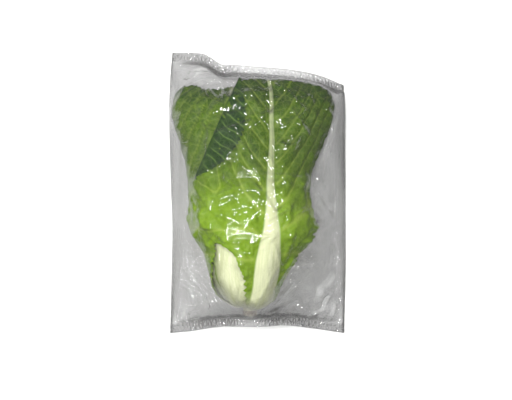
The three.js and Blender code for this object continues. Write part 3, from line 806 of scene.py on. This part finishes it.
# Folds that the film has picked up, as (points, height, spread) in millimetres.
FOLDS = [
    ([(-114, 140), (-78, 146)], 2.2, 9), ([(-95, 172), (-62, 160), (-90, 160)], 3.0, 10),
    ([(-72, 148), (-49, 152)], 2.5, 8), ([(-69, 140), (-69, 125)], 1.6, 6),
    ([(-55, 110), (-45, 120), (-10, 129), (16, 128), (-3, 98), (21, 101)], 2.6, 9),
    ([(-55, 110), (-16, 115)], 1.8, 7), ([(16, 130), (49, 148)], 2.0, 8),
    ([(29, 60), (44, 60), (58, 79)], 2.2, 9), ([(-38, 51), (-23, 49), (6, 14), (1, 3)], 2.6, 10),
    ([(5, 3), (31, 19)], 1.6, 7), ([(9, -2), (62, 15), (39, -10), (25, -24)], 2.4, 9),
    ([(-40, 19), (-1, -20), (12, -29)], 2.0, 8), ([(-88, -5), (-75, -25), (-55, -49), (-33, -66), (-10, -65),
     (16, -54)], 2.4, 9), ([(73, 48), (86, 42)], 2.2, 8), ([(71, -38), (84, -23), (87, -41)], 2.4, 9),
    ([(74, -55), (79, -62)], 2.0, 7), ([(82, -136), (95, -156)], 3.0, 13), ([(44, -105), (69, -131)], 2.4, 9),
    ([(104, -112), (87, -131), (83, -144)], 2.6, 10), ([(109, -114), (97, -132), (87, -132)], 2.6, 10),
    ([(5, -160), (32, -151), (61, -148), (70, -147)], -1.6, 6), ([(51, -127), (57, -145)], -1.6, 5),
    ([(-92, -126), (-84, -160)], 2.6, 9), ([(69, -127), (78, -159)], 2.0, 8),
]


# Flat facets of taut film between folds, as outlines of (x, y) in millimetres.
# Each leans a little more the farther it lies from the middle of the bag.
FLATS = [
    [(-95, 170), (-82, 172), (-62, 160.5), (-88, 162)],
    [(-53, 98), (-47, 108.5), (-16, 116), (5, 124), (-23, 105)],
    [(5, 124), (29, 123), (18, 110), (16, 99), (10, 112)],
    [(29, 64), (58.5, 80), (43, 60.5)],
    [(-34, 55), (-18, 42), (5, 14), (5, 3), (-8, 14), (-29, 42)],
    [(9, -0.6), (58.5, 12), (41.6, -7), (22, -24)],
    [(-86, -7), (-56, -27), (-17, -46), (16, -54), (-10, -66), (-43, -62), (-71.5, -38)],
    [(87, -23), (83, -41), (71.5, -40)],
    [(95, -136), (87, -140), (82, -162)],
]
FLAT_LEAN = (0.041, 0.071)
FLAT_SHARE, FLAT_LIFT = 88, 4.2
FLAT_TURN = 0.00093  # further lean for each millimetre from the middle of the bag


def within(xs, ys, outline):
    """Which places lie inside a closed outline."""
    inside = np.zeros(xs.shape, bool)
    for (x0, y0), (x1, y1) in zip(outline, outline[1:] + outline[:1]):
        crosses = (ys < y0) != (ys < y1)
        if y0 != y1:
            inside ^= crosses & (xs < x0 + (x1 - x0) * (ys - y0) / (y1 - y0))
    return inside


def flatten(xs, ys, z, low):
    """Pulls the film flat inside each of the facets, just clear of what lies under it."""
    for outline in FLATS:
        place = within(xs, ys, outline)
        x0, y0 = np.mean(outline, axis=0)
        plane = (xs - x0) * (FLAT_LEAN[0] + FLAT_TURN * x0) + (ys - y0) * (FLAT_LEAN[1] + FLAT_TURN * y0)
        if place.any():
            level = plane + np.percentile((low - plane)[place], FLAT_SHARE)
            z = np.where(place, np.clip(level, low + 0.1, low + FLAT_LIFT), z)
    return z


SMALL_FOLDS = 130


def small_folds():
    """Short straight creases scattered over the film, most of them running up the bag or slanting."""
    rng = np.random.default_rng(90)
    for _ in range(SMALL_FOLDS):
        x, y = rng.uniform(-112, 112), rng.uniform(-176, 176)
        turn = np.radians(rng.choice([95, 60, 125, 15]) + rng.uniform(-18, 18))
        half = rng.uniform(6, 24)
        step_x, step_y = half * np.cos(turn), half * np.sin(turn)
        yield [(x - step_x, y - step_y), (x + step_x, y + step_y)], rng.uniform(1.0, 2.6)


def film_plan(across, along):
    guess = blend(-119.0, 119.0, across)
    y = blend(bottom_edge(guess), top_edge(guess), along)
    return blend(bag_left(y), bag_right(y), across), y


def stretch_film(trees):
    """The upper film's heights: pulled tight over the leaves, down to the side folds and the seals."""
    across, along = np.meshgrid(np.linspace(0, 1, TOP_COLUMNS + 1), np.linspace(0, 1, FILM_ROWS + 1),
                                indexing="ij")
    xs, ys = film_plan(across, along)
    floor = obstacle_heights(trees, xs, ys)
    for axis in (0, 1):
        for shift in (-1, 1):
            floor = np.maximum(floor, np.roll(floor, shift, axis) - 1.5)
    from_bottom = ys - bottom_edge(xs)
    from_top = top_edge(xs) - ys
    sealed = np.minimum(from_bottom, from_top) < SEAL_WIDTH
    seal_z = np.where(along < 0.5, bottom_seal(xs), top_seal(xs)) + 0.35
    low = np.where(floor > 1, floor + FILM_CLEAR, 1.0)
    low[sealed] = seal_z[sealed]
    z = np.maximum(low, 20.0)
    fixed = sealed.copy()
    fixed[0] = True
    fixed[-1] = True
    hold = np.where(sealed, seal_z, side_height(ys))
    z[fixed] = hold[fixed]
    for _ in range(1600):
        z[1:-1, 1:-1] = (z[:-2, 1:-1] + z[2:, 1:-1] + z[1:-1, :-2] + z[1:-1, 2:]) / 4
        z = np.maximum(z, low)
        z[fixed] = hold[fixed]
    inside = ease(np.minimum(across, 1 - across) * 238, 2, 18)
    inside = inside * ease(np.minimum(from_bottom, from_top) - SEAL_WIDTH, 0, 10)
    rise = 4.0 * facets(xs, ys, 30, 21) + 0.9 * facets(xs, ys, 13, 22, (1.0, 0.7))
    for line, height, spread in FOLDS:
        rise = rise + 1.15 * crease(xs, ys, line, height, spread)
    for line, height in small_folds():
        rise = rise + crease(xs, ys, line, height, 3.8)
    # Slack film near the ends gathers into short folds that run in from the seals.
    gather_bottom = ease(from_bottom, SEAL_WIDTH, SEAL_WIDTH + 4) * (1 - ease(from_bottom, 16, 52))
    gather_top = ease(from_top, SEAL_WIDTH, SEAL_WIDTH + 4) * (1 - ease(from_top, 14, 34))
    pleats = np.abs(((xs / 13 + 0.5 * rumple(xs, ys, 40, 31)) % 1) - 0.5) * 2
    rise = rise + 1.8 * pleats * gather_bottom + 1.2 * pleats * gather_top
    taut = z
    z = z + np.maximum(rise, 0) * inside * (1 - 0.85 * ease(z, 82, 95))
    z = flatten(xs, ys, z, taut)
    z = z + crimp(xs, ys, np.minimum(from_bottom, from_top))
    return xs, ys, z


def crimp(xs, ys, from_edge):
    """Fine ribs pressed into the seals, and the slow wave of the sealed edge."""
    band = 1 - ease(from_edge, SEAL_WIDTH - 1, SEAL_WIDTH + 1)
    ribs = 1.1 * np.abs(((xs + 0.6 * from_edge + 1.5 * rumple(xs, ys, 12, 51)) / 5.4 % 1) - 0.5) * 2
    wave = 0.7 * (rumple(xs, 0 * ys, 14, 52) + 0.7 * rumple(xs, 0 * ys, 6, 53) + 1)
    return band * (ribs + wave * ease(SEAL_WIDTH - from_edge, 0, SEAL_WIDTH))


def under_film(across, along):
    """The lower film: flat under the head, lifting to the seals and the side folds."""
    x, y = film_plan(across, along)
    from_bottom = y - bottom_edge(x)
    from_top = top_edge(x) - y
    lift_bottom = bottom_seal(x) * np.exp(-np.maximum(from_bottom - SEAL_WIDTH, 0) / 9)
    lift_top = top_seal(x) * (1 - ease(from_top, SEAL_WIDTH, SEAL_WIDTH + 7))
    z = np.where(along < 0.5, np.where(from_bottom < SEAL_WIDTH, bottom_seal(x), lift_bottom),
                 np.where(from_top < SEAL_WIDTH, top_seal(x), lift_top))
    aside = np.minimum(across, 1 - across) * 238
    z = np.maximum(z - 0.3, 0.15)
    sealed = np.minimum(from_bottom, from_top) < SEAL_WIDTH
    side = side_height(y) * (1 - ease(aside, 0, 14)) ** 1.5
    z = np.where(sealed, z, np.maximum(z, side))
    return x, y, z + crimp(x, y, np.minimum(from_bottom, from_top))


def bag_piece(material, trees):
    top_x, top_y, top_z = stretch_film(trees)
    bm = bmesh.new()
    bm.verts.layers.float_color.new("tone")
    total = TOP_COLUMNS + UNDER_COLUMNS
    verts, w, v = grid_into(bm, total, FILM_ROWS)
    column = np.rint((w + 1) / 2 * total).astype(int)
    row = np.rint(v * FILM_ROWS).astype(int)
    over = column <= TOP_COLUMNS
    top_at = np.clip(column, 0, TOP_COLUMNS)
    back = 1 - (column - TOP_COLUMNS) / UNDER_COLUMNS
    x, y, z = under_film(np.clip(back, 0, 1), v)
    closing = column == total
    over = over | closing
    top_at = np.where(closing, 0, top_at)
    x = np.where(over, top_x[top_at, row], x)
    y = np.where(over, top_y[top_at, row], y)
    z = np.where(over, top_z[top_at, row], z)
    place_verts(verts, np.stack([x, y, z], -1))
    from_edge = np.minimum(y - bottom_edge(x), top_edge(x) - y)
    band = 1 - ease(from_edge, SEAL_WIDTH - 0.8, SEAL_WIDTH + 0.8)
    tone = bm.verts.layers.float_color["tone"]
    for vert, share in zip(verts, band):
        vert[tone] = (share, 0, 0, 1)
    cut_vent(bm)
    bmesh.ops.remove_doubles(bm, verts=bm.verts[:], dist=1e-5)
    bm.normal_update()
    tall = [f for f in bm.faces if f.calc_center_median().z > 0.05]
    if sum(f.normal.z for f in tall) < 0:
        bmesh.ops.reverse_faces(bm, faces=bm.faces[:])
    piece = finish_piece("film_bag", bm, [material], "film", "produce_bag")
    thicken(piece, FILM_WALL * MM)
    return piece


def cut_vent(bm):
    """One round vent hole in the upper film."""
    centre = Vector((VENT_PLACE[0] * MM, VENT_PLACE[1] * MM))
    high = [v for v in bm.verts if v.co.z > 0.02]
    gone = [v for v in high if (v.co.xy - centre).length < VENT_RADIUS * MM * 0.8]
    rim = {e.other_vert(v) for v in gone for e in v.link_edges} - set(gone)
    ring = {w for f in {f for v in gone for f in v.link_faces} for w in f.verts} - set(gone)
    bmesh.ops.delete(bm, geom=gone, context="VERTS")
    for vert in ring | rim:
        away = (vert.co.xy - centre).normalized() * VENT_RADIUS * MM
        vert.co.x = centre.x + away.x
        vert.co.y = centre.y + away.y


# ---------------------------------------------------------------- light, floor and camera
def floor_material():
    material, _, shader = nodes_of("pale floor")
    shader.inputs["Base Color"].default_value = (0.86, 0.86, 0.85, 1)
    shader.inputs["Roughness"].default_value = 0.9
    shader.inputs["Specular IOR Level"].default_value = 0.1
    return material


def set_stage():
    bm = bmesh.new()
    bmesh.ops.create_grid(bm, x_segments=1, y_segments=1, size=6)
    bmesh.ops.translate(bm, verts=bm.verts[:], vec=(0, 0, CAD_BOX[0][2] - 0.0003))
    mesh = bpy.data.meshes.new("floor")
    bm.to_mesh(mesh)
    bm.free()
    mesh.materials.append(floor_material())
    floor = bpy.data.objects.new("floor", mesh)
    bpy.context.scene.collection.objects.link(floor)
    floor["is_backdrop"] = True


def area_light(name, place, aim, size, power, mirrored=False):
    data = bpy.data.lights.new(name, "AREA")
    data.shape = "SQUARE"
    data.size = size
    data.energy = power
    lamp = bpy.data.objects.new(name, data)
    lamp.location = place
    lamp.visible_glossy = mirrored
    lamp.rotation_euler = (Vector(aim) - Vector(place)).to_track_quat("-Z", "Y").to_euler()
    bpy.context.scene.collection.objects.link(lamp)


def set_light():
    world = bpy.data.worlds.new("soft sky")
    bpy.context.scene.world = world
    world.use_nodes = True
    sky = world.node_tree.nodes["Background"]
    sky.inputs["Color"].default_value = (0.96, 0.98, 1.0, 1)
    sky.inputs["Strength"].default_value = 0.2
    area_light("key", (-0.85, 0.5, 0.95), (0, 0, 0.03), 0.4, 14.5)
    for name, place, size, power in (
            ("softbox", (-0.1, -0.16, 1.3), 0.17, 8.5), ("left strip", (-0.42, 0.1, 1.1), 0.14, 4.5),
            ("right strip", (0.38, 0.16, 1.15), 0.12, 4.0), ("far strip", (0.02, 0.42, 1.2), 0.12, 4.5)):
        area_light(name, place, (0, 0, 0.03), size, power, True)
    area_light("fill", (0.9, -0.6, 1.4), (0, 0, 0), 1.1, 2.5)


CAMERA_HEIGHT = 1.05
CAMERA_PLACE = (-0.0026, -0.00975, CAMERA_HEIGHT)
VIEW_WIDTH, VIEW_LEVEL = 0.6656, 0.045  # how much is seen across, at half the head's height


def set_camera():
    data = bpy.data.cameras.new("camera")
    data.sensor_width = 36
    data.lens = data.sensor_width * (CAMERA_HEIGHT - VIEW_LEVEL) / VIEW_WIDTH
    camera = bpy.data.objects.new("camera", data)
    camera.location = CAMERA_PLACE
    bpy.context.scene.collection.objects.link(camera)
    bpy.context.scene.camera = camera


# ---------------------------------------------------------------- the whole object
# Grid cells across and along for each leaf: fine where it shows.
DETAIL = {0: (160, 240), 1: (100, 180), 2: (90, 170), 3: (120, 190), 4: (70, 120), 5: (80, 150), 6: (80, 150),
          9: (70, 130)}


def build():
    set_camera()
    set_light()
    set_stage()
    leaves = [Leaf(i) for i in range(LEAF_COUNT)]
    stack_leaves(leaves)
    tissue = leaf_tissue_group()
    fibres = rib_fibre_group()
    # Colours are given as the blade's pale green and deep green, then rib, then vein; the deep green also
    # paints the shade near the leaf tip.
    outer = leaf_material("outer leaf back", tissue, fibres, (0.16, 0.285, 0.003, 1), (0.02, 0.056, 0.001, 1),
                          (0.78, 0.8, 0.54, 1), (0.36, 0.46, 0.07, 1), 0.42)
    upper = leaf_material("outer leaf face", tissue, fibres, (0.011, 0.055, 0.002, 1),
                          (0.005, 0.03, 0.001, 1),
                          (0.6, 0.66, 0.42, 1), (0.16, 0.27, 0.05, 1), 0.4)
    middle = leaf_material("middle leaf", tissue, fibres, (0.29, 0.41, 0.012, 1), (0.024, 0.062, 0.002, 1),
                           (0.8, 0.82, 0.6, 1), (0.42, 0.52, 0.12, 1), 0.42)
    heart = leaf_material("heart leaf", tissue, fibres, (0.66, 0.66, 0.2, 1), (0.42, 0.5, 0.12, 1),
                          (0.72, 0.72, 0.52, 1), (0.7, 0.7, 0.4, 1), 0.35)
    trees = []
    for leaf in leaves:
        bm = leaf_mesh(leaf, *DETAIL.get(leaf.index, (44, 96)))
        if leaf.index == 0:
            flap_into(bm, leaf)
        trees.append(BVHTree.FromBMesh(bm))
        slot = ("outer_leaf", "middle_leaf", "heart_leaf")[leaf.index // 6]
        skins = ((outer, middle), (middle, middle), (heart, heart))[leaf.index // 6]
        if leaf.index == 0:
            skins = (outer, upper)
        piece = finish_piece(f"cabbage_{leaf.name}", bm, skins, slot, leaf.name)
        piece.vertex_groups.new(name="thickness")
        thicken(piece, leaf.root * MM, group="thickness", inner=1)
    stem = stem_piece(heart, cut_face_material()).data
    stub = BVHTree.FromPolygons([v.co for v in stem.vertices], [p.vertices for p in stem.polygons])
    bag_piece(film_material(), [*trees[:12], stub])
    bpy.context.scene.cycles.transparent_max_bounces = 32
    bpy.context.scene.view_settings.view_transform = "Standard"


build()

NEW_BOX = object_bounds()
{"cad": [list(corner) for corner in CAD_BOX], "visual": [list(corner) for corner in NEW_BOX]}
